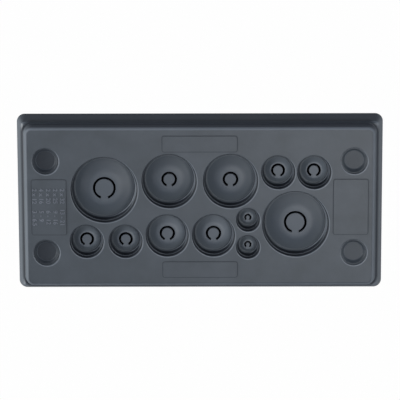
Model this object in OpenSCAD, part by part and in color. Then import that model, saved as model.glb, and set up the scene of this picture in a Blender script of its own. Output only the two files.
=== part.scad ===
// Cable entry plate: one elastomer moulding that closes a panel cut-out. Twelve wells in the
// front hold conical membranes, each with a C-shaped slit whose tongue a cable pushes aside.
// Four wells near the corners take the screws, and a flared skirt seals on the panel.
// The plate lies on its back: z = 0 is the panel, +Z the front, +X along the length.

/* [Plate] */
// Length over the foot of the skirt
plate_length = 174; // [170:0.5:220]
// Width over the foot of the skirt
plate_width = 85.5; // [84:0.5:130]
// Height of the front face above the panel
plate_height = 12.6; // [11.5:0.1:18]
// Thickness of the front wall
face_wall = 3; // [2:0.1:4]
// Thickness of the skirt, measured level
skirt_wall = 2.6; // [2:0.1:4]
// Rounding between the front face and its side
face_round = 1.7; // [1:0.1:2.5]
// How much wider the corners of the flat face are turned than its edge is rounded
face_corner_margin = 0.2; // [0.1:0.1:3]
// Corner radius at the foot of the skirt
foot_corner_r = 3.8; // [3.5:0.1:8]
// Draft of the side between the rounding and the shoulder, in degrees
side_draft = 12; // [4:1:16]
// Depth of the shoulder crease below the front face
shoulder_drop = 5; // [4:0.1:7]
// Width of the shoulder ledge
shoulder_step = 0.9; // [0.4:0.1:1.2]
// Fall of the shoulder ledge across its width
shoulder_fall = 0.6; // [0.2:0.1:1]
// How far the skirt flares out from the shoulder to its foot
skirt_flare = 2.4; // [0.5:0.1:2.4]

/* [Wells] */
// Depth of the ring at the bottom of each well below the face
well_depth = 6.3; // [5.5:0.1:6.6]
// Rounding of the rim of each well
rim_round = 0.5; // [0.2:0.05:0.5]
// Draft of the well walls, in degrees
well_draft = 5; // [2:1:12]
// Depth of the ledge in each well wall
ledge_drop = 2.3; // [1.5:0.1:3.5]
// Width of the ledge in each well wall
ledge_width = 0.35; // [0.3:0.05:0.7]
// Rounding of the edge of the ledge
ledge_round = 0.25; // [0.1:0.05:0.25]
// Bevel between the lower wall and the bottom ring
ring_bevel = 0.45; // [0.2:0.05:0.6]
// Width of the flat bottom ring round the membrane
ring_width = 0.3; // [0.2:0.05:0.5]
// Wall of the cups behind the wells
cup_wall = 1.4; // [1:0.1:2]

/* [Membranes] */
// Thickness of the conical membrane
membrane_wall = 1.3; // [0.8:0.1:1.6]
// Thickness of the flat crown
crown_wall = 1.6; // [1.4:0.1:2.6]
// Width of the C-shaped slit
slot_width = 1.1; // [0.5:0.05:1.3]
// Width of the C-shaped slit on the extra small entries
xs_slot_width = 0.85; // [0.4:0.05:1]

/* [Large entries] */
// Diameter of the well
large_d = 31.6; // [28:0.1:32]
// Diameter of the flat crown
large_crown_d = 15.2; // [13:0.1:18]
// Depth of the crown below the face
large_crown_drop = 3.9; // [2.5:0.1:5]
// Rounding of the edge of the crown
large_crown_round = 8; // [0.5:0.1:12]
// Outside diameter of the C-shaped slit
large_slot_d = 10.9; // [8:0.1:12]
// Bridge between the ends of the C-shaped slit
large_bridge = 3.3; // [1.5:0.1:4.5]
// Distance of each centre from the middle along the plate
large_x = 45.4; // [44:0.1:50]
// Distance of each centre from the middle across the plate
large_y = 8.4; // [6:0.1:12]

/* [Medium entries] */
// Diameter of the well
medium_d = 26; // [22:0.1:27]
// Diameter of the flat crown
medium_crown_d = 12; // [10:0.1:14]
// Depth of the crown below the face
medium_crown_drop = 4; // [2.5:0.1:5]
// Rounding of the edge of the crown
medium_crown_round = 8; // [0.5:0.1:9]
// Outside diameter of the C-shaped slit
medium_slot_d = 7.5; // [6:0.1:8.5]
// Bridge between the ends of the C-shaped slit
medium_bridge = 2.4; // [1.2:0.1:3.2]
// Web between the two wells
medium_web = 3.1; // [2:0.1:6]
// Distance of the pair from the middle across the plate
medium_y = 12.6; // [11:0.1:18]

/* [Small entries] */
// Diameter of the well
small_d = 20.3; // [18:0.1:21]
// Diameter of the flat crown
small_crown_d = 10; // [8:0.1:11]
// Depth of the crown below the face
small_crown_drop = 4.5; // [3:0.1:5.2]
// Rounding of the edge of the crown
small_crown_round = 4; // [0.5:0.1:6]
// Outside diameter of the C-shaped slit
small_slot_d = 7.4; // [5:0.1:7.6]
// Bridge between the ends of the C-shaped slit
small_bridge = 2.4; // [1:0.1:3]
// Web between the two wells
small_web = 1.7; // [1.2:0.1:4]
// Middle of the pair along the plate
small_x = -4.6; // [-6:0.1:-3]
// Middle of the pair across the plate
small_y = -14; // [-18:0.1:-13.5]

/* [Slim entries] */
// Diameter of the well
slim_d = 16; // [14:0.1:16.4]
// Diameter of the flat crown
slim_crown_d = 8; // [7:0.1:8.5]
// Depth of the crown below the face
slim_crown_drop = 4.6; // [3.5:0.1:5.4]
// Rounding of the edge of the crown
slim_crown_round = 1.5; // [0.5:0.1:1.8]
// Outside diameter of the C-shaped slit
slim_slot_d = 6.7; // [4:0.1:6.8]
// Bridge between the ends of the C-shaped slit
slim_bridge = 2.3; // [1:0.1:2.8]
// Middle of the pair beside the right large entry, along the plate
slim_right_x = 45.6; // [44:0.1:48]
// Middle of the pair beside the left large entry, along the plate
slim_left_x = -44.7; // [-48:0.1:-44]
// Web between the two wells beside the right large entry
slim_right_web = 1; // [0.8:0.1:3]
// Web between the two wells beside the left large entry
slim_left_web = 2.5; // [0.8:0.1:4]
// Distance of both pairs from the middle across the plate
slim_y = 16.8; // [16:0.1:22]

/* [Extra small entries] */
// Diameter of the well
xs_d = 11.2; // [10:0.1:11.8]
// Diameter of the flat crown
xs_crown_d = 4.8; // [4.4:0.1:5.2]
// Depth of the crown below the face
xs_crown_drop = 4.9; // [4:0.1:5.4]
// Rounding of the edge of the crown
xs_crown_round = 0.8; // [0.5:0.1:1.2]
// Outside diameter of the C-shaped slit
xs_slot_d = 3.5; // [3:0.1:4]
// Bridge between the ends of the C-shaped slit
xs_bridge = 1.5; // [0.8:0.1:1.8]
// Web between the two wells
xs_web = 2.1; // [1.2:0.1:4]
// Place of the pair along the plate
xs_x = 22.8; // [22:0.1:24]
// Middle of the pair across the plate
xs_y = -13; // [-18:0.1:-12]

/* [Screws] */
// Spacing of the screws along the plate
screw_pitch_x = 146.2; // [142:0.1:147]
// Spacing of the screws across the plate
screw_pitch_y = 44.7; // [40:0.1:50]
// Clearance hole for the screw, from the back
screw_hole_d = 5.4; // [4.2:0.1:6]
// Diameter of the screw well in the face
screw_well_d = 12.4; // [10:0.1:13]
// Depth of the ledge in the wall of the screw well
screw_ledge_drop = 1.1; // [0.8:0.1:1.6]
// Diameter of the flat floor under the screw head
screw_floor_d = 8.7; // [7:0.1:9.5]
// Depth of the floor below the face
screw_floor_drop = 2.9; // [2.4:0.1:4]
// Bevel round the floor
screw_bevel = 0.35; // [0.2:0.05:0.5]
// Skin that closes the hole and seals round the screw
screw_skin = 1.2; // [0.6:0.1:2]
// Wall of the boss behind the screw well
boss_wall = 1.6; // [1.2:0.1:2.5]

/* [Marking pads] */
// Height of the blank marking pads above the face
pad_height = 0.25; // [0.1:0.05:0.5]
// Corner radius of the pads
pad_corner_r = 0.9; // [0.4:0.1:2]
// Length of the side pads, across the plate
side_pad_length = 26.7; // [15:0.1:28]
// Width of the side pads
side_pad_width = 16.2; // [8:0.1:17]
// Distance of the side pads from the middle along the plate
side_pad_x = 71.6; // [71:0.1:74]
// Length of the edge pads, along the plate
edge_pad_length = 35.2; // [20:0.1:50]
// Width of the edge pads
edge_pad_width = 7.4; // [4:0.1:8]
// Distance of the edge pads from the middle across the plate
edge_pad_y = 30.7; // [30.5:0.1:32]

/* [Hidden] */
$fn = 72;
over = 1;  // how far cuts reach past the faces that they open
past_turn = 2;  // degrees by which a rounding turns past the slope that it meets
plate_colour = "#565a60";

shoulder_z = plate_height - shoulder_drop;
face_corner_r = face_round + face_corner_margin;
hollow_top_z = plate_height - face_wall;
cup_floor_z = plate_height - well_depth - membrane_wall;

// Level run of the side between the flat face and the shoulder crease
side_run = face_round * cos(side_draft)
    + (shoulder_drop - face_round * (1 - sin(side_draft))) * tan(side_draft);
// Level distance from the foot of the skirt in to the shoulder crease and to the flat face
crease_inset = skirt_flare + shoulder_step;
face_inset = crease_inset + side_run;
// Level run of the hollow's wall, which keeps the slope from the foot to the crease
hollow_run = crease_inset * hollow_top_z / shoulder_z;
hollow_corner_r = face_corner_r;

// One row for each kind: well, crown, crown drop and rounding, slit, slit width, bridge, then the centres
entries = [
    [large_d, large_crown_d, large_crown_drop, large_crown_round, large_slot_d, slot_width, large_bridge,
        [[-large_x, large_y], [large_x, -large_y]]],
    [medium_d, medium_crown_d, medium_crown_drop, medium_crown_round, medium_slot_d, slot_width,
        medium_bridge, pair_along([0, medium_y], medium_d + medium_web)],
    [small_d, small_crown_d, small_crown_drop, small_crown_round, small_slot_d, slot_width, small_bridge,
        pair_along([small_x, small_y], small_d + small_web)],
    [slim_d, slim_crown_d, slim_crown_drop, slim_crown_round, slim_slot_d, slot_width, slim_bridge,
        concat(pair_along([slim_right_x, slim_y], slim_d + slim_right_web),
            pair_along([slim_left_x, -slim_y], slim_d + slim_left_web))],
    [xs_d, xs_crown_d, xs_crown_drop, xs_crown_round, xs_slot_d, xs_slot_width, xs_bridge,
        [for (side = [-1, 1]) [xs_x, xs_y + side * (xs_d + xs_web) / 2]]],
];

screw_places = [for (x = [-1, 1], y = [-1, 1]) [x * screw_pitch_x / 2, y * screw_pitch_y / 2]];

function pair_along(middle, pitch) = [for (side = [-1, 1]) middle + [side * pitch / 2, 0]];

// Radius of the well wall at the bottom ring's bevel
function wall_foot_r(d) = d / 2 - ledge_width - (well_depth - ring_bevel) * tan(well_draft);

// Radius at which the cone of the membrane starts
function cone_foot_r(d) = wall_foot_r(d) - ring_bevel - ring_width;

function to_micron(size) = round(size * 1000) / 1000;

// Block on a rectangle through its corner axes: straight sides and turned corners share one
// half profile, which starts at the axis. The axes keep whole microns, so that all parts meet
module profiled_block(half_x, half_y, bottom_z, top_z) {
    core_x = to_micron(half_x);
    core_y = to_micron(half_y);
    rotate([90, 0, 90])
        linear_extrude(2 * core_x, center = true)
            polygon([[-core_y, bottom_z], [core_y, bottom_z], [core_y, top_z], [-core_y, top_z]]);
    for (turn = [0:3]) {
        along = turn % 2 == 0 ? core_x : core_y;
        across = turn % 2 == 0 ? core_y : core_x;
        rotate(90 * turn) {
            translate([0, across, 0])
                rotate([90, 0, 90])
                    linear_extrude(2 * along, center = true)
                        children();
            translate([along, across, 0]) rotate_extrude(angle = 90) children();
        }
    }
}

// Upper part of the plate, from the shoulder to the face, with the edge rounded
module face_block() {
    profiled_block(plate_length / 2 - face_inset - face_corner_r,
        plate_width / 2 - face_inset - face_corner_r, shoulder_z, plate_height)
        intersection() {
            union() {
                square([face_corner_r, plate_height]);
                translate([face_corner_r, plate_height - face_round]) circle(face_round);
                polygon([
                    [0, shoulder_z],
                    [face_corner_r + side_run, shoulder_z],
                    [face_corner_r + face_round * cos(side_draft),
                        plate_height - face_round * (1 - sin(side_draft))],
                    [0, plate_height - face_round * (1 - sin(side_draft))],
                ]);
            }
            translate([0, shoulder_z]) square([face_corner_r + side_run, shoulder_drop]);
        }
}

// Lower part of the plate, from the panel to the shoulder, flaring to its foot
module skirt_block() {
    profiled_block(plate_length / 2 - foot_corner_r, plate_width / 2 - foot_corner_r, 0, shoulder_z)
        polygon([
            [0, 0],
            [foot_corner_r, 0],
            [foot_corner_r - skirt_flare, shoulder_z - shoulder_fall],
            [foot_corner_r - crease_inset, shoulder_z],
            [0, shoulder_z],
        ]);
}

// Hollow of the back, which leaves an even skirt and the front wall
module back_hollow() {
    top_inset = skirt_wall + hollow_run + hollow_corner_r;
    below = over * hollow_run / hollow_top_z;
    profiled_block(plate_length / 2 - top_inset, plate_width / 2 - top_inset, -over, hollow_top_z)
        polygon([
            [0, -over],
            [hollow_corner_r + hollow_run + below, -over],
            [hollow_corner_r, hollow_top_z],
            [0, hollow_top_z],
        ]);
}

// Rounded edge of a round opening in a level face, as a cut
module edge_cut(radius, face_z, rounding) {
    rotate_extrude()
        difference() {
            translate([radius - rounding, face_z - rounding]) square([2 * rounding, rounding + over]);
            translate([radius + rounding, face_z - rounding]) circle(rounding);
        }
}

// Half outline of a membrane's front, down past the bottom ring: cone and flat crown with the
// edge between them rounded. The rounding turns a little past the cone, to meet it in a clean edge
module membrane_front(d, crown_d, crown_drop, crown_round) {
    ring_z = plate_height - well_depth;
    crown_z = plate_height - crown_drop;
    slope = (crown_z - ring_z) / (cone_foot_r(d) - crown_d / 2);
    incline = atan(slope);
    inner_round = crown_round * cos(past_turn);
    flat_r = crown_d / 2 - (inner_round - crown_round * cos(incline)) / sin(incline);
    translate([0, ring_z - over]) square([flat_r, crown_z - ring_z + over]);
    intersection() {
        translate([flat_r, crown_z - crown_round]) circle(crown_round);
        translate([0, ring_z - over]) square([cone_foot_r(d), crown_z - ring_z + 2 * over]);
    }
    polygon([
        [0, ring_z - over],
        [cone_foot_r(d) + over / slope, ring_z - over],
        [flat_r + inner_round * sin(incline), crown_z - crown_round + inner_round * cos(incline)],
        [0, crown_z - crown_round + inner_round * cos(incline)],
    ]);
}

// Room in front of a membrane: stepped wall and bottom ring, down to the membrane
module well_cut(d, crown_d, crown_drop, crown_round) {
    ledge_r = d / 2 - ledge_drop * tan(well_draft);
    rotate_extrude()
        difference() {
            polygon([
                [0, plate_height + over],
                [d / 2, plate_height + over],
                [d / 2, plate_height],
                [ledge_r, plate_height - ledge_drop],
                [ledge_r - ledge_width, plate_height - ledge_drop],
                [wall_foot_r(d), plate_height - well_depth + ring_bevel],
                [wall_foot_r(d) - ring_bevel, plate_height - well_depth],
                [0, plate_height - well_depth],
            ]);
            membrane_front(d, crown_d, crown_drop, crown_round);
        }
    edge_cut(d / 2, plate_height, rim_round);
    edge_cut(to_micron(ledge_r - ledge_width), plate_height - ledge_drop, ledge_round);
}

// Room behind a membrane, which follows its cone at an even thickness
module membrane_back_cut(d, crown_d, crown_drop) {
    rise = well_depth - crown_drop;
    run = cone_foot_r(d) - crown_d / 2;
    slope = rise / run;
    crown_back_z = plate_height - crown_drop - crown_wall;
    // Height of the cone's back above its own axis point at radius zero
    apex_z = plate_height - well_depth + slope * cone_foot_r(d) - membrane_wall * norm([1, slope]);
    mouth_z = cup_floor_z - over;
    rotate_extrude()
        polygon([
            [0, mouth_z],
            [(apex_z - mouth_z) / slope, mouth_z],
            [(apex_z - crown_back_z) / slope, crown_back_z],
            [0, crown_back_z],
        ]);
}

// C-shaped slit through a crown, open towards -Y, which leaves a tongue on a bridge
module slot_cut(slot_d, width, bridge, crown_drop) {
    gap = 2 * asin(bridge / (slot_d - width));
    rotate(gap / 2 - 90)
        rotate_extrude(angle = 360 - gap)
            translate([slot_d / 2 - width, plate_height - crown_drop - crown_wall - over])
                square([width, crown_wall + 2 * over]);
}

// Stepped well for a screw head, and the hole behind it
module screw_cut() {
    ledge_r = screw_well_d / 2 - screw_ledge_drop * tan(well_draft);
    floor_r = screw_floor_d / 2;
    rotate_extrude()
        polygon([
            [0, plate_height + over],
            [screw_well_d / 2, plate_height + over],
            [screw_well_d / 2, plate_height],
            [ledge_r, plate_height - screw_ledge_drop],
            [ledge_r - ledge_width, plate_height - screw_ledge_drop],
            [floor_r + screw_bevel, plate_height - screw_floor_drop + screw_bevel],
            [floor_r, plate_height - screw_floor_drop],
            [0, plate_height - screw_floor_drop],
        ]);
    edge_cut(screw_well_d / 2, plate_height, rim_round);
    translate([0, 0, -over])
        cylinder(d = screw_hole_d, h = plate_height - screw_floor_drop - screw_skin + over);
}

// Blank raised pad on the face
module marking_pad(length, width) {
    translate([0, 0, hollow_top_z])
        linear_extrude(face_wall + pad_height) {
            square([length - 2 * pad_corner_r, width], center = true);
            square([length, width - 2 * pad_corner_r], center = true);
            for (x = [-1, 1], y = [-1, 1])
                translate([x * (length / 2 - pad_corner_r), y * (width / 2 - pad_corner_r)])
                    circle(pad_corner_r);
        }
}

module entry_plate() {
    color(plate_colour)
        difference() {
            union() {
                difference() {
                    union() {
                        face_block();
                        skirt_block();
                    }
                    back_hollow();
                }
                for (kind = entries, place = kind[7])
                    translate([place.x, place.y, cup_floor_z])
                        cylinder(d = kind[0] + 2 * cup_wall,
                            h = hollow_top_z + face_wall / 2 - cup_floor_z);
                for (place = screw_places)
                    translate(place)
                        cylinder(d = screw_well_d + 2 * boss_wall, h = hollow_top_z + face_wall / 2);
                for (side = [-1, 1]) {
                    translate([side * side_pad_x, 0]) marking_pad(side_pad_width, side_pad_length);
                    translate([0, side * edge_pad_y]) marking_pad(edge_pad_length, edge_pad_width);
                }
            }
            for (kind = entries, place = kind[7])
                translate(place) {
                    well_cut(kind[0], kind[1], kind[2], kind[3]);
                    membrane_back_cut(kind[0], kind[1], kind[2]);
                    slot_cut(kind[4], kind[5], kind[6], kind[2]);
                }
            for (place = screw_places) translate(place) screw_cut();
        }
}

entry_plate();
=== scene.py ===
import math
import bpy
from mathutils import Matrix, Vector


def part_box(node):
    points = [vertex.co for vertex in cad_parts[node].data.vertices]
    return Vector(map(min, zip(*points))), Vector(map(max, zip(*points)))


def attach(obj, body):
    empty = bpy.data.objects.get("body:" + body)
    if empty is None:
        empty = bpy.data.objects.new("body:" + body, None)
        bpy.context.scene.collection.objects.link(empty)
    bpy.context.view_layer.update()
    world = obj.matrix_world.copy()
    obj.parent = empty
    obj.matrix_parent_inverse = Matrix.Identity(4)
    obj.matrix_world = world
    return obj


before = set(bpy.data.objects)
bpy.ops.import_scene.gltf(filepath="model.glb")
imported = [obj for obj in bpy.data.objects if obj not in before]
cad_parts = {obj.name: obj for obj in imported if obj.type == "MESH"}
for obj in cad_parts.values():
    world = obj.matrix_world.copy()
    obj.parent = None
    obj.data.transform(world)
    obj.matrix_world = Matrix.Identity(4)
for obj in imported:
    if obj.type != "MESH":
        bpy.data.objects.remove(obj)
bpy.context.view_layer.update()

scene = bpy.context.scene
scene.view_settings.view_transform = "Standard"
mm = 0.001  # Blender works in metres


def linearColour(hexColour):
    channels = [int(hexColour[i:i + 2], 16) / 255 for i in (1, 3, 5)]
    return [c / 12.92 if c <= 0.04045 else ((c + 0.055) / 1.055) ** 2.4 for c in channels] + [1.0]


# One node: settings are its own properties, inputs are values or output sockets to link from
def addNode(tree, kind, settings=None, inputs=None):
    node = tree.nodes.new(kind)
    for name, value in (settings or {}).items():
        setattr(node, name, value)
    for key, value in (inputs or {}).items():
        if isinstance(value, bpy.types.NodeSocket):
            tree.links.new(value, node.inputs[key])
        else:
            node.inputs[key].default_value = value
    return node


# Camera, as it stood for the photograph: almost square to the face, leaning towards +Y
cameraSet = {
    "tilt": 14.0,       # degrees off the face's normal, towards +Y
    "yaw": 0.40,        # degrees towards +X
    "roll": 0.19,       # degrees about the line of sight
    "focalPx": 2989.0,  # focal length in pixels of the 400 x 400 image
    "imagePx": 400.0,
    "mmPerPx": 0.4745,  # at the face
    "facePx": (199.84, 207.08),  # where the middle of the face lies in the image
    "sensor": 36.0,     # mm
    "clipEnd": 20.0,    # metres
}


def makeCamera(s):
    turn = (Matrix.Rotation(math.radians(s["roll"]), 3, "Z")
            @ Matrix.Rotation(math.radians(s["tilt"]), 3, "X")
            @ Matrix.Rotation(math.radians(-s["yaw"]), 3, "Y"))
    half = s["imagePx"] / 2
    away = Vector((half - s["facePx"][0], s["facePx"][1] - half, s["focalPx"])) * s["mmPerPx"] * mm
    faceMiddle = Vector((0, 0, plateTop))
    camera = bpy.data.objects.new("camera", bpy.data.cameras.new("camera"))
    scene.collection.objects.link(camera)
    camera.matrix_world = (Matrix.Translation(turn.transposed() @ away + faceMiddle)
                           @ turn.transposed().to_4x4())
    camera.data.sensor_width = s["sensor"]
    camera.data.lens = s["focalPx"] * s["sensor"] / s["imagePx"]
    camera.data.clip_end = s["clipEnd"]
    scene.camera = camera


plateLow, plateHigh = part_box("entry_plate")
padHeight = 0.25  # mm that the marking pads stand above the face
plateTop = plateHigh.z - padHeight * mm
makeCamera(cameraSet)
print("camera done")

# Soft boxes: angles in degrees round and above the plate, distance and sides in metres
lightSet = {
    "main": {"azimuth": -8, "elevation": 70, "distance": 0.5, "size": (0.30, 0.30), "watts": 1.36},
    "top": {"azimuth": 95, "elevation": 75, "distance": 0.5, "size": (0.32, 0.32), "watts": 0.30},
    "left": {"azimuth": 180, "elevation": 38, "distance": 0.5, "size": (0.28, 0.22), "watts": 0.38},
    "leftLow": {"azimuth": 180, "elevation": 14, "distance": 0.45, "size": (0.30, 0.14), "watts": 1.5},
    "rightLow": {"azimuth": 0, "elevation": 14, "distance": 0.45, "size": (0.30, 0.14), "watts": 0.45},
    "frontLow": {"azimuth": 270, "elevation": 14, "distance": 0.45, "size": (0.40, 0.14), "watts": 0.3},
}
ambient = {"colour": "#6c94ff", "strength": 0.085}  # faint blue fill in the shade


def makeLights(boxes):
    for name, s in boxes.items():
        a, e = math.radians(s["azimuth"]), math.radians(s["elevation"])
        way = Vector((math.cos(a) * math.cos(e), math.sin(a) * math.cos(e), math.sin(e)))
        lamp = bpy.data.lights.new("softbox_" + name, "AREA")
        lamp.shape = "RECTANGLE"
        lamp.size, lamp.size_y = s["size"]
        lamp.energy = s["watts"]
        body = bpy.data.objects.new("softbox_" + name, lamp)
        scene.collection.objects.link(body)
        body.location = way * s["distance"]
        body.rotation_euler = way.to_track_quat("Z", "Y").to_euler()


def makeWorld(s):
    world = bpy.data.worlds.new("studio")
    scene.world = world
    world.use_nodes = True
    tree = world.node_tree
    tree.nodes.clear()
    room = addNode(tree, "ShaderNodeBackground", None,
                   {"Color": linearColour(s["colour"]), "Strength": s["strength"]})
    white = addNode(tree, "ShaderNodeBackground", None, {"Color": (1, 1, 1, 1), "Strength": 1.0})
    path = addNode(tree, "ShaderNodeLightPath")
    mix = addNode(tree, "ShaderNodeMixShader", None,
                  {0: path.outputs["Is Camera Ray"], 1: room.outputs[0], 2: white.outputs[0]})
    addNode(tree, "ShaderNodeOutputWorld", None, {"Surface": mix.outputs[0]})


# White paper under the plate, and a dark ground inside its rim: painted shade under the plate
floorSet = {
    "half": 4.0,            # metres
    "below": 0.05,          # mm under the foot of the skirt
    "inside": (80.0, 36.0),  # half sides of the dark ground, in mm
    "paper": "#787878",
    # painted shade: the dark ground under the plate
    "dark": "#101012",
    "shadowShare": 0.01,    # how much of the floor's own shading shows on the white
    "glossShare": 0.15,     # how white gloss sees it: little, as the sides show a dim floor
}


# Even white paper with a faint soft shadow left on it. Light Path makes it white to the camera and,
# in part, to gloss and glass
def whitePaper(s):
    material = bpy.data.materials.new("paper, matt white")
    material.use_nodes = True
    tree = material.node_tree
    tree.nodes.clear()
    path = addNode(tree, "ShaderNodeLightPath")
    bounced = addNode(tree, "ShaderNodeMath", {"operation": "MAXIMUM"},
                      {0: path.outputs["Is Glossy Ray"], 1: path.outputs["Is Transmission Ray"]})
    partWhite = addNode(tree, "ShaderNodeMath", {"operation": "MULTIPLY"},
                        {0: bounced.outputs[0], 1: s["glossShare"]})
    seen = addNode(tree, "ShaderNodeMath", {"operation": "MAXIMUM"},
                   {0: path.outputs["Is Camera Ray"], 1: partWhite.outputs[0]})
    share = addNode(tree, "ShaderNodeMath", {"operation": "MULTIPLY"},
                    {0: seen.outputs[0], 1: 1 - s["shadowShare"]})
    paper = addNode(tree, "ShaderNodeBsdfDiffuse", None, {"Color": linearColour(s["paper"])})
    glow = addNode(tree, "ShaderNodeEmission", None, {"Color": (1, 1, 1, 1), "Strength": 1.0})
    mix = addNode(tree, "ShaderNodeMixShader", None,
                  {0: share.outputs[0], 1: paper.outputs[0], 2: glow.outputs[0]})
    addNode(tree, "ShaderNodeOutputMaterial", None, {"Surface": mix.outputs[0]})
    return material


# Black card, painted shade under the plate, which swallows the light that comes through the slits
def shadeCard(s):
    material = bpy.data.materials.new("card, black painted shade")
    material.use_nodes = True
    tree = material.node_tree
    tree.nodes.clear()
    card = addNode(tree, "ShaderNodeBsdfDiffuse", None, {"Color": linearColour(s["dark"])})
    addNode(tree, "ShaderNodeOutputMaterial", None, {"Surface": card.outputs[0]})
    return material


def makeFloor(s):
    z = plateLow.z - s["below"] * mm
    sides = ((-1, -1), (1, -1), (1, 1), (-1, 1))
    outer = [(x * s["half"], y * s["half"], z) for x, y in sides]
    inner = [(x * s["inside"][0] * mm, y * s["inside"][1] * mm, z) for x, y in sides]
    faces = [(k, (k + 1) % 4, (k + 1) % 4 + 4, k + 4) for k in range(4)] + [(4, 5, 6, 7)]
    mesh = bpy.data.meshes.new("floor")
    mesh.from_pydata(outer + inner, [], faces)
    mesh.materials.append(whitePaper(s))
    mesh.materials.append(shadeCard(s))
    mesh.polygons[4].material_index = 1
    floor = bpy.data.objects.new("floor", mesh)
    scene.collection.objects.link(floor)


makeLights(lightSet)
makeWorld(ambient)
makeFloor(floorSet)
print("stage done")

# Sizes in mm: grain of the mould's spark-eroded skin, flow marks and the slack waviness of soft rubber
elastomerSet = {
    "dark": "#3c4348",
    "pale": "#454c52",
    "grain": 0.5,           # drawn coarser than the real skin, so that it shows
    "grainDepth": 0.012,
    "grainDetail": (3.0, 0.55),  # detail and roughness of the noise
    "grainRange": (0.25, 0.75),  # values of the noise that give the two roughnesses
    "flow": 14.0,
    "flowDetail": (4.0, 0.6),
    "flowRange": (0.3, 0.7),  # values of the noise that give the dark and the pale tone
    "wave": 11.0,
    "waveDepth": 0.10,
    "waveDetail": 1.0,
    "roughLow": 0.44,
    "roughHigh": 0.56,
    "ior": 1.5,
    "wearAndHighlight": "#7e868d",      # rubbed pale with painted highlight, and how much of that each place has
    "wornRough": 0.34,
    "rimShare": 0.5,
    "rimLean": (0.2, -0.25),  # mm that the rubbed ring lies off a rim's centre: the lower right is paler, a painted highlight
    "ringShare": 0.45,
    "bevelShare": 1.0,
    "stepShare": 0.6,
    "screwRingShare": 0.25,
    "edgeShare": 0.45,
    "topEdgeShare": 0.6,
    "skirtShare": 0.42,
    "highlightWay": (-1.0, 0.2, 0.0),  # bevels that face this way get the most painted highlight, palest as in the photograph
    "highlightTurn": (0.1, 0.6),
    "topTurn": (0.1, 0.4),  # Y of the normal at edge and ledges, between unrubbed and rubbed with painted highlight
    "scuffRough": 0.8,      # outer half of the edge's rounding, scuffed matt
    "dustAndShade": "#0f1721",      # dust with painted shade, and how much of it each place has
    "dustRough": 0.85,
    "upperShare": 0.9,
    "lowerShare": 0.9,
    "ledgeShare": 0.15,
    "bevelShadeShare": 0.8,
    "rimShadeShare": 0.8,
    "screwWallShare": 0.45,
    "floorShare": 0.6,
    "screwThin": 0.2,       # of it in the screw wells on the right
    "screwTurn": (-1.0, 1.0),  # mm across the middle, from the left wells to the right ones
    "creaseShare": 0.7,
    "sideShare": 0.35,
    "footShare": 0.5,
    "shadeWay": (0.5, 0.87, 0.0),  # walls that face this way get the most painted shade, darkest as in the photograph
    "shadeTurn": (-0.5, 0.3),
    "shadeThin": 0.85,       # of it on the other upper walls
    "creaseTurn": (-0.5, -0.2),  # Y of the normal between the clean low side and the crease darkened with dust and painted shade
    "creaseThin": 0.2,
    "bevelTurn": (0.3, 0.7),  # X of the normal between clean bevels and bevels darkened with painted shade
    "rimTurn": (0.2, 0.6),  # and the same towards -Y at the rims
    "sideTurn": (0.3, 0.9),  # Y of the normal between clean outer sides and sides darkened with painted shade
    "membraneLight": "#545c63",     # painted light on the membranes, and stronger in the smaller wells
    "membraneLightShare": 0.6,
    "slimMembraneLight": "#697178",
    "slimShare": 0.8,
    "slimUnder": 11.0,      # mm, the radius under which a well is one of those
    "membraneLightWay": (0.8, 0.6, 0.0),  # flanks that face this way have most of the painted light
    "membraneLightTurn": (-0.2, 0.4),
    "membraneLightThin": 0.3,
    "faceAbove": 12.0,      # heights above the panel that bound the face and the wells
    "wellAbove": 6.35,
}
# Where wear with painted highlight and dust with painted shade lie, in mm out of a well's rim or the flat
# face: start, full, full still, end
bandSet = {
    "rims": (-0.1, 0.1, 0.3, 0.55),
    "rings": (-2.1, -1.8, -1.4, -1.25),
    "bevels": (-1.45, -1.3, -0.65, -0.5),
    "membranes": (-30.0, -20.0, -2.2, -1.4),
    "slimMembranes": (-30.0, -20.0, -2.2, -1.4),
    "upperWalls": (-0.4, -0.3, 0.05, 0.18),
    "ledges": (-0.54, -0.48, -0.3, -0.24),
    "steps": (-0.6, -0.52, -0.32, -0.24),
    "lowerWalls": (-0.94, -0.86, -0.54, -0.48),
    "bevelShade": (-1.35, -1.25, -0.9, -0.8),
    "rimShade": (-0.2, -0.05, 0.2, 0.35),
    "screwWalls": (-1.5, -1.4, -0.05, 0.02),
    "screwRings": (-1.95, -1.85, -1.55, -1.45),
    "screwFloors": (-9.0, -8.0, -1.8, -1.4),
    "padFeet": (-0.1, 0.1, 0.15, 0.6),
    "edge": (0.4, 1.0, 2.0, 2.5),
    "topEdge": (0.1, 0.4, 1.3, 1.7),
    "scuff": (0.6, 0.9, 2.3, 2.4),
    "crease": (2.4, 2.7, 3.2, 3.5),
    "sides": (1.5, 1.8, 9.0, 10.0),
    "skirt": (3.4, 4.4, 9.0, 10.0),
}
# Centre and radius of each well, and the rectangles, in mm
wellPlaces = [
    ((-45.4, 8.4), 15.8), ((45.4, -8.4), 15.8), ((-14.55, 12.6), 13.0), ((14.55, 12.6), 13.0),
    ((-15.6, -14.0), 10.15), ((6.4, -14.0), 10.15), ((37.1, 16.8), 8.0), ((54.1, 16.8), 8.0),
    ((-53.95, -16.8), 8.0), ((-35.45, -16.8), 8.0), ((22.8, -6.35), 5.6), ((22.8, -19.65), 5.6),
]
screwPlaces = [((x, y), 6.2) for x in (-73.1, 73.1) for y in (-22.35, 22.35)]
# Centre and half sides of two pads, with their twins on the far side
padPlaces = [((71.6, 0.0), (8.1, 13.35)), ((0.0, 30.7), (17.6, 3.7))]
padCorner = 0.9
faceHalf = (81.26, 37.01)
faceCorner = 1.9


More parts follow.
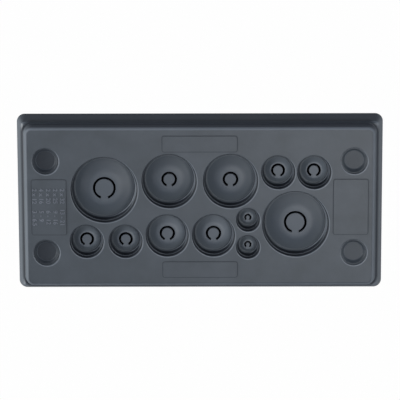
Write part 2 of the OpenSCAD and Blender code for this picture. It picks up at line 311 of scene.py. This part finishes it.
# Distance out of a rounded rectangle, in metres, and less than 0 inside it
def outOfRectangle(tree, point, centre, half, corner):
    offset = addNode(tree, "ShaderNodeVectorMath", {"operation": "SUBTRACT"},
                     {0: point, 1: (centre[0] * mm, centre[1] * mm, 0)})
    folded = addNode(tree, "ShaderNodeVectorMath", {"operation": "ABSOLUTE"}, {0: offset.outputs[0]})
    beyond = addNode(tree, "ShaderNodeVectorMath", {"operation": "SUBTRACT"},
                     {0: folded.outputs[0], 1: ((half[0] - corner) * mm, (half[1] - corner) * mm, 0)})
    outside = addNode(tree, "ShaderNodeVectorMath", {"operation": "MAXIMUM"},
                      {0: beyond.outputs[0], 1: (0, 0, 0)})
    reach = addNode(tree, "ShaderNodeVectorMath", {"operation": "LENGTH"}, {0: outside.outputs[0]})
    return addNode(tree, "ShaderNodeMath", {"operation": "SUBTRACT"},
                   {0: reach.outputs["Value"], 1: corner * mm}).outputs[0]


# Distance out of a circle, in metres, and less than 0 inside it
def outOfCircle(tree, point, centre, radius):
    reach = addNode(tree, "ShaderNodeVectorMath", {"operation": "DISTANCE"},
                    {0: point, 1: (centre[0] * mm, centre[1] * mm, 0)})
    return addNode(tree, "ShaderNodeMath", {"operation": "SUBTRACT"},
                   {0: reach.outputs["Value"], 1: radius * mm}).outputs[0]


# Least or most of several values, or their product
def combine(tree, operation, values):
    result = values[0]
    for value in values[1:]:
        node = addNode(tree, "ShaderNodeMath", {"operation": operation}, {0: result, 1: value})
        result = node.outputs[0]
    return result


# Soft step from one value to another between two edges
def step(tree, value, edges, low=0.0, high=1.0):
    return addNode(tree, "ShaderNodeMapRange", {"interpolation_type": "SMOOTHSTEP"},
                   {0: value, 1: edges[0], 2: edges[1], 3: low, 4: high}).outputs[0]


# Soft band: 1 between the middle two of four distances in mm, 0 beyond the outer two
def band(tree, value, edges):
    start, full, still, end = [edge * mm for edge in edges]
    rise = step(tree, value, (start, full))
    fall = step(tree, value, (still, end), 1.0, 0.0)
    return combine(tree, "MULTIPLY", [rise, fall])


# How far a surface faces a given way, stepped
def facing(tree, normal, way, edges, low=0.0):
    share = addNode(tree, "ShaderNodeVectorMath", {"operation": "DOT_PRODUCT"}, {0: normal, 1: way})
    return step(tree, share.outputs["Value"], edges, low)


# Masks of wear with painted highlight, dust with painted shade, painted light on the membranes and
# scuffed edge, each from 0 to 1
def plateMasks(tree, place, normal, s):
    across, _, height = addNode(tree, "ShaderNodeSeparateXYZ", None, {0: place}).outputs
    # painted shade: the screw wells on the left are darker than those on the right
    shadedHalf = step(tree, across, [edge * mm for edge in s["screwTurn"]], 1.0, s["screwThin"])
    onFace = addNode(tree, "ShaderNodeMath", {"operation": "GREATER_THAN"},
                     {0: height, 1: s["faceAbove"] * mm}).outputs[0]
    inWells = addNode(tree, "ShaderNodeMath", {"operation": "GREATER_THAN"},
                      {0: height, 1: s["wellAbove"] * mm}).outputs[0]
    plan = addNode(tree, "ShaderNodeVectorMath", {"operation": "MULTIPLY"},
                   {0: place, 1: (1, 1, 0)}).outputs[0]
    quarter = addNode(tree, "ShaderNodeVectorMath", {"operation": "ABSOLUTE"}, {0: plan}).outputs[0]
    circles = [outOfCircle(tree, plan, *well) for well in wellPlaces]
    slimCircles = [c for c, well in zip(circles, wellPlaces) if well[1] < s["slimUnder"]]
    entries = combine(tree, "MINIMUM", circles)
    slims = combine(tree, "MINIMUM", slimCircles)
    screws = combine(tree, "MINIMUM", [outOfCircle(tree, plan, *screw) for screw in screwPlaces])
    leaning = addNode(tree, "ShaderNodeVectorMath", {"operation": "SUBTRACT"},
                      {0: plan, 1: (s["rimLean"][0] * mm, s["rimLean"][1] * mm, 0)}).outputs[0]
    wells = combine(tree, "MINIMUM", [entries, screws])
    rimCircles = [outOfCircle(tree, leaning, *well) for well in wellPlaces + screwPlaces]
    rims = combine(tree, "MINIMUM", rimCircles)
    padRectangles = [outOfRectangle(tree, quarter, *pad, padCorner) for pad in padPlaces]
    pads = combine(tree, "MINIMUM", padRectangles)
    face = outOfRectangle(tree, quarter, (0, 0), faceHalf, faceCorner)
    distances = {
        "rims": rims, "rings": entries, "bevels": entries, "steps": entries, "membranes": entries,
        "slimMembranes": slims, "upperWalls": entries, "ledges": entries, "lowerWalls": entries,
        "bevelShade": entries, "rimShade": wells, "screwWalls": screws, "screwRings": screws,
        "screwFloors": screws, "padFeet": pads, "edge": face, "topEdge": face, "scuff": face,
        "crease": face, "sides": face, "skirt": face,
    }
    at = {name: band(tree, distances[name], bandSet[name]) for name in bandSet}

    def share(*factors):
        return combine(tree, "MULTIPLY", list(factors))

    highlightFacing = facing(tree, normal, s["highlightWay"], s["highlightTurn"])
    topHighlightFacing = facing(tree, normal, (0, 1, 0), s["topTurn"])
    shadedUpper = facing(tree, normal, s["shadeWay"], s["shadeTurn"], s["shadeThin"])
    shadedLower = facing(tree, normal, s["shadeWay"], s["shadeTurn"])
    shadedBevel = facing(tree, normal, (1, 0, 0), s["bevelTurn"])
    shadedRim = facing(tree, normal, (0, -1, 0), s["rimTurn"])
    shadedSide = facing(tree, normal, (0, 1, 0), s["sideTurn"])
    shadedCrease = facing(tree, normal, (0, 1, 0), s["creaseTurn"], s["creaseThin"])
    membraneLightWay = facing(tree, normal, s["membraneLightWay"], s["membraneLightTurn"], s["membraneLightThin"])
    # Rubbed pale places, partly painted highlight: the rims are paler to the lower right, and bevels,
    # ledges and the top edge are paler by the way they face
    wearAndHighlight = combine(tree, "MAXIMUM", [
        share(at["rims"], onFace, s["rimShare"]),
        share(at["rings"], inWells, s["ringShare"]),
        share(at["bevels"], highlightFacing, inWells, s["bevelShare"]),
        share(at["steps"], topHighlightFacing, inWells, s["stepShare"]),
        share(at["screwRings"], inWells, s["screwRingShare"]),
        share(at["edge"], s["edgeShare"]),
        share(at["topEdge"], topHighlightFacing, s["topEdgeShare"]),
        share(at["skirt"], s["skirtShare"]),
    ])
    # Dust, partly painted shade: walls, bevels, rims, crease and sides darker by the way they face, dark
    # lines at the pad feet, and darker screw wells on the left
    dustAndShade = combine(tree, "MAXIMUM", [
        share(at["upperWalls"], shadedUpper, inWells, s["upperShare"]),
        share(at["ledges"], shadedLower, inWells, s["ledgeShare"]),
        share(at["lowerWalls"], shadedLower, inWells, s["lowerShare"]),
        share(at["bevelShade"], shadedBevel, inWells, s["bevelShadeShare"]),
        share(at["rimShade"], shadedRim, inWells, s["rimShadeShare"]),
        share(at["screwWalls"], shadedUpper, inWells, shadedHalf, s["screwWallShare"]),
        share(at["screwFloors"], shadedHalf, s["floorShare"]),
        share(at["crease"], shadedCrease, s["creaseShare"]),
        share(at["sides"], shadedSide, s["sideShare"]),
        share(at["padFeet"], onFace, s["footShare"]),
    ])
    # painted light: the membranes are paler, most in the smaller wells on the flanks that face one way
    membraneLight = share(at["membranes"], inWells, s["membraneLightShare"])
    slimMembraneLight = share(at["slimMembranes"], membraneLightWay, inWells, s["slimShare"])
    return wearAndHighlight, dustAndShade, membraneLight, slimMembraneLight, at["scuff"]


# Thermoplastic elastomer, moulded in an eroded tool: dark blue-grey with a satin gleam, and uneven
# enough that broad surfaces never shade quite flat. Rims and edges are rubbed pale with painted
# highlights, and the steep walls and corners hold dust with painted shade. Both differ from side to side,
# set so that the tones match the photograph, so part of them is painted light and shade
def mouldedElastomer(name, s):
    material = bpy.data.materials.new(name)
    material.use_nodes = True
    tree = material.node_tree
    tree.nodes.clear()
    coordinates = addNode(tree, "ShaderNodeTexCoord")
    place = coordinates.outputs["Object"]
    flow = addNode(tree, "ShaderNodeTexNoise", None,
                   {"Vector": place, "Scale": 1 / (s["flow"] * mm),
                    "Detail": s["flowDetail"][0], "Roughness": s["flowDetail"][1]})
    grain = addNode(tree, "ShaderNodeTexNoise", None,
                    {"Vector": place, "Scale": 1 / (s["grain"] * mm),
                     "Detail": s["grainDetail"][0], "Roughness": s["grainDetail"][1]})
    wave = addNode(tree, "ShaderNodeTexNoise", None,
                   {"Vector": place, "Scale": 1 / (s["wave"] * mm), "Detail": s["waveDetail"]})
    tone = addNode(tree, "ShaderNodeValToRGB", None, {0: flow.outputs[0]})
    for stop, position, key in zip(tone.color_ramp.elements, s["flowRange"], ("dark", "pale")):
        stop.position = position
        stop.color = linearColour(s[key])
    wearAndHighlight, dustAndShade, membraneLight, slimMembraneLight, scuff = plateMasks(tree, place, coordinates.outputs["Normal"], s)

    colour = tone.outputs[0]
    # painted light on the membranes, wear with painted highlight and dust with painted shade, laid over
    # the tone
    for mask, key in ((membraneLight, "membraneLight"), (slimMembraneLight, "slimMembraneLight"), (wearAndHighlight, "wearAndHighlight"), (dustAndShade, "dustAndShade")):
        colour = addNode(tree, "ShaderNodeMix", {"data_type": "RGBA"},
                         {"Factor": mask, 6: colour, 7: linearColour(s[key])}).outputs[2]
    rough = addNode(tree, "ShaderNodeMapRange", None,
                    {0: grain.outputs[0], 1: s["grainRange"][0], 2: s["grainRange"][1],
                     3: s["roughLow"], 4: s["roughHigh"]}).outputs[0]
    for mask, key in ((wearAndHighlight, "wornRough"), (dustAndShade, "dustRough"), (scuff, "scuffRough")):
        rough = addNode(tree, "ShaderNodeMix", None, {"Factor": mask, 2: rough, 3: s[key]}).outputs[0]
    waves = addNode(tree, "ShaderNodeBump", None,
                    {"Strength": 1.0, "Distance": s["waveDepth"] * mm, "Height": wave.outputs[0]})
    skin = addNode(tree, "ShaderNodeBump", None,
                   {"Strength": 1.0, "Distance": s["grainDepth"] * mm, "Height": grain.outputs[0],
                    "Normal": waves.outputs[0]})
    shader = addNode(tree, "ShaderNodeBsdfPrincipled", None,
                     {"Base Color": colour, "Roughness": rough, "IOR": s["ior"],
                      "Normal": skin.outputs[0]})
    addNode(tree, "ShaderNodeOutputMaterial", None, {"Surface": shader.outputs[0]})
    return material


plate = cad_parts["entry_plate"]
elastomer = mouldedElastomer("elastomer, moulded satin", elastomerSet)
plate.data.materials.clear()
plate.data.materials.append(elastomer)
print("plate done")

# Raised plain numbers on the left pad: each well's size, then the cables that it takes, all in mm
marksSet = {
    "rows": "2 x 32   13 - 21\n2 x 25    9 - 16\n2 x 20    6 - 12\n4 x 16    5 - 9\n2 x 12    3 - 6.5",
    "start": (-66.2, 9.2),  # foot of the first row, at its first digit
    "digit": 2.1,           # height of a digit
    "digitShare": 0.72,     # and about what share it is of the type size
    "pitch": 3.3,           # from row to row
    "relief": 0.2,
    "sunk": 0.05,           # how far the marks reach into the pad
    "bevel": 0.05,
    "bevelSteps": 1,
    "curveSteps": 4,
    "dark": "#5d636b",      # the strokes are rubbed pale, partly a painted highlight on their raised tops
    "pale": "#686e76",
}


# The rows read down the plate, with the tops of the digits towards +X
def makeMarks(s, material):
    text = bpy.data.curves.new("size_marks_text", "FONT")
    text.body = s["rows"]
    emSize = s["digit"] / s["digitShare"]
    text.size = emSize * mm
    text.space_line = s["pitch"] / emSize
    text.extrude = ((s["relief"] + s["sunk"]) / 2 - s["bevel"]) * mm
    text.bevel_depth = s["bevel"] * mm
    text.bevel_resolution = s["bevelSteps"]
    text.resolution_u = s["curveSteps"]
    draft = bpy.data.objects.new("size_marks_text", text)
    scene.collection.objects.link(draft)
    bpy.context.view_layer.update()
    graph = bpy.context.evaluated_depsgraph_get()
    mesh = bpy.data.meshes.new_from_object(draft.evaluated_get(graph))
    bpy.data.objects.remove(draft)
    bpy.data.curves.remove(text)
    middle = plateHigh.z + (s["relief"] - s["sunk"]) / 2 * mm
    mesh.transform(Matrix.Translation((s["start"][0] * mm, s["start"][1] * mm, middle))
                   @ Matrix.Rotation(math.radians(-90), 4, "Z"))
    mesh.materials.clear()
    mesh.materials.append(material)
    marks = bpy.data.objects.new("size_marks", mesh)
    scene.collection.objects.link(marks)
    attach(marks, "root")


# the marks' paler tone is partly a painted highlight on the raised strokes
rubbedAndLitMarksSet = dict(elastomerSet, dark=marksSet["dark"], pale=marksSet["pale"])
makeMarks(marksSet, mouldedElastomer("elastomer, rubbed pale with painted highlight", rubbedAndLitMarksSet))
print("marks done")
